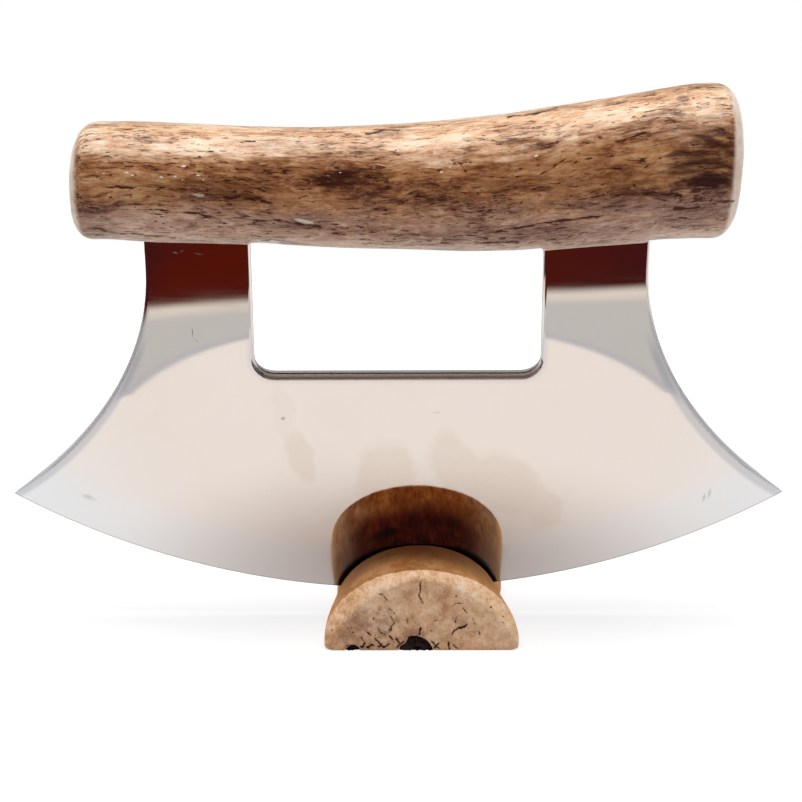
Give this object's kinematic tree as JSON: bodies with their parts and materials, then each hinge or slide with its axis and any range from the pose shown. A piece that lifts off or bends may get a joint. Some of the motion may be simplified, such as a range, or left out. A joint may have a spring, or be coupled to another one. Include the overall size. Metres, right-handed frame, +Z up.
{
  "type": "ulu knife",
  "caption": "Ulu knife: a crescent steel blade with tangs set in a bone bar handle, standing edge down and leaning in a slotted half-round bone block.",
  "frame": {"origin": "middle of the stand's foot, on the surface that it stands on", "axes": "+X along the handle to the viewer's right, -Y is the front that the knife leans towards, +Z up"},
  "size_m": [0.1772, 0.0589, 0.1222],
  "materials": {
    "steel": "mirror-polished stainless plate with a satin band along the cutting edge, ground mostly from the back",
    "handle_bone": null,
    "epoxy": "set adhesive, pale and slightly glossy",
    "stand_bone": null
  },
  "bodies": {
    "stand": {"stand": "stand_bone"},
    "knife": {"blade": "steel", "handle": "handle_bone", "left_tang_epoxy": "epoxy", "right_tang_epoxy": "epoxy"}
  },
  "joints": [
    {"name": "lift_out", "type": "slide", "parent": "stand", "child": "knife", "axis": [0, -0.184, 0.9829], "range_m": [0, 0.03]}
  ]
}
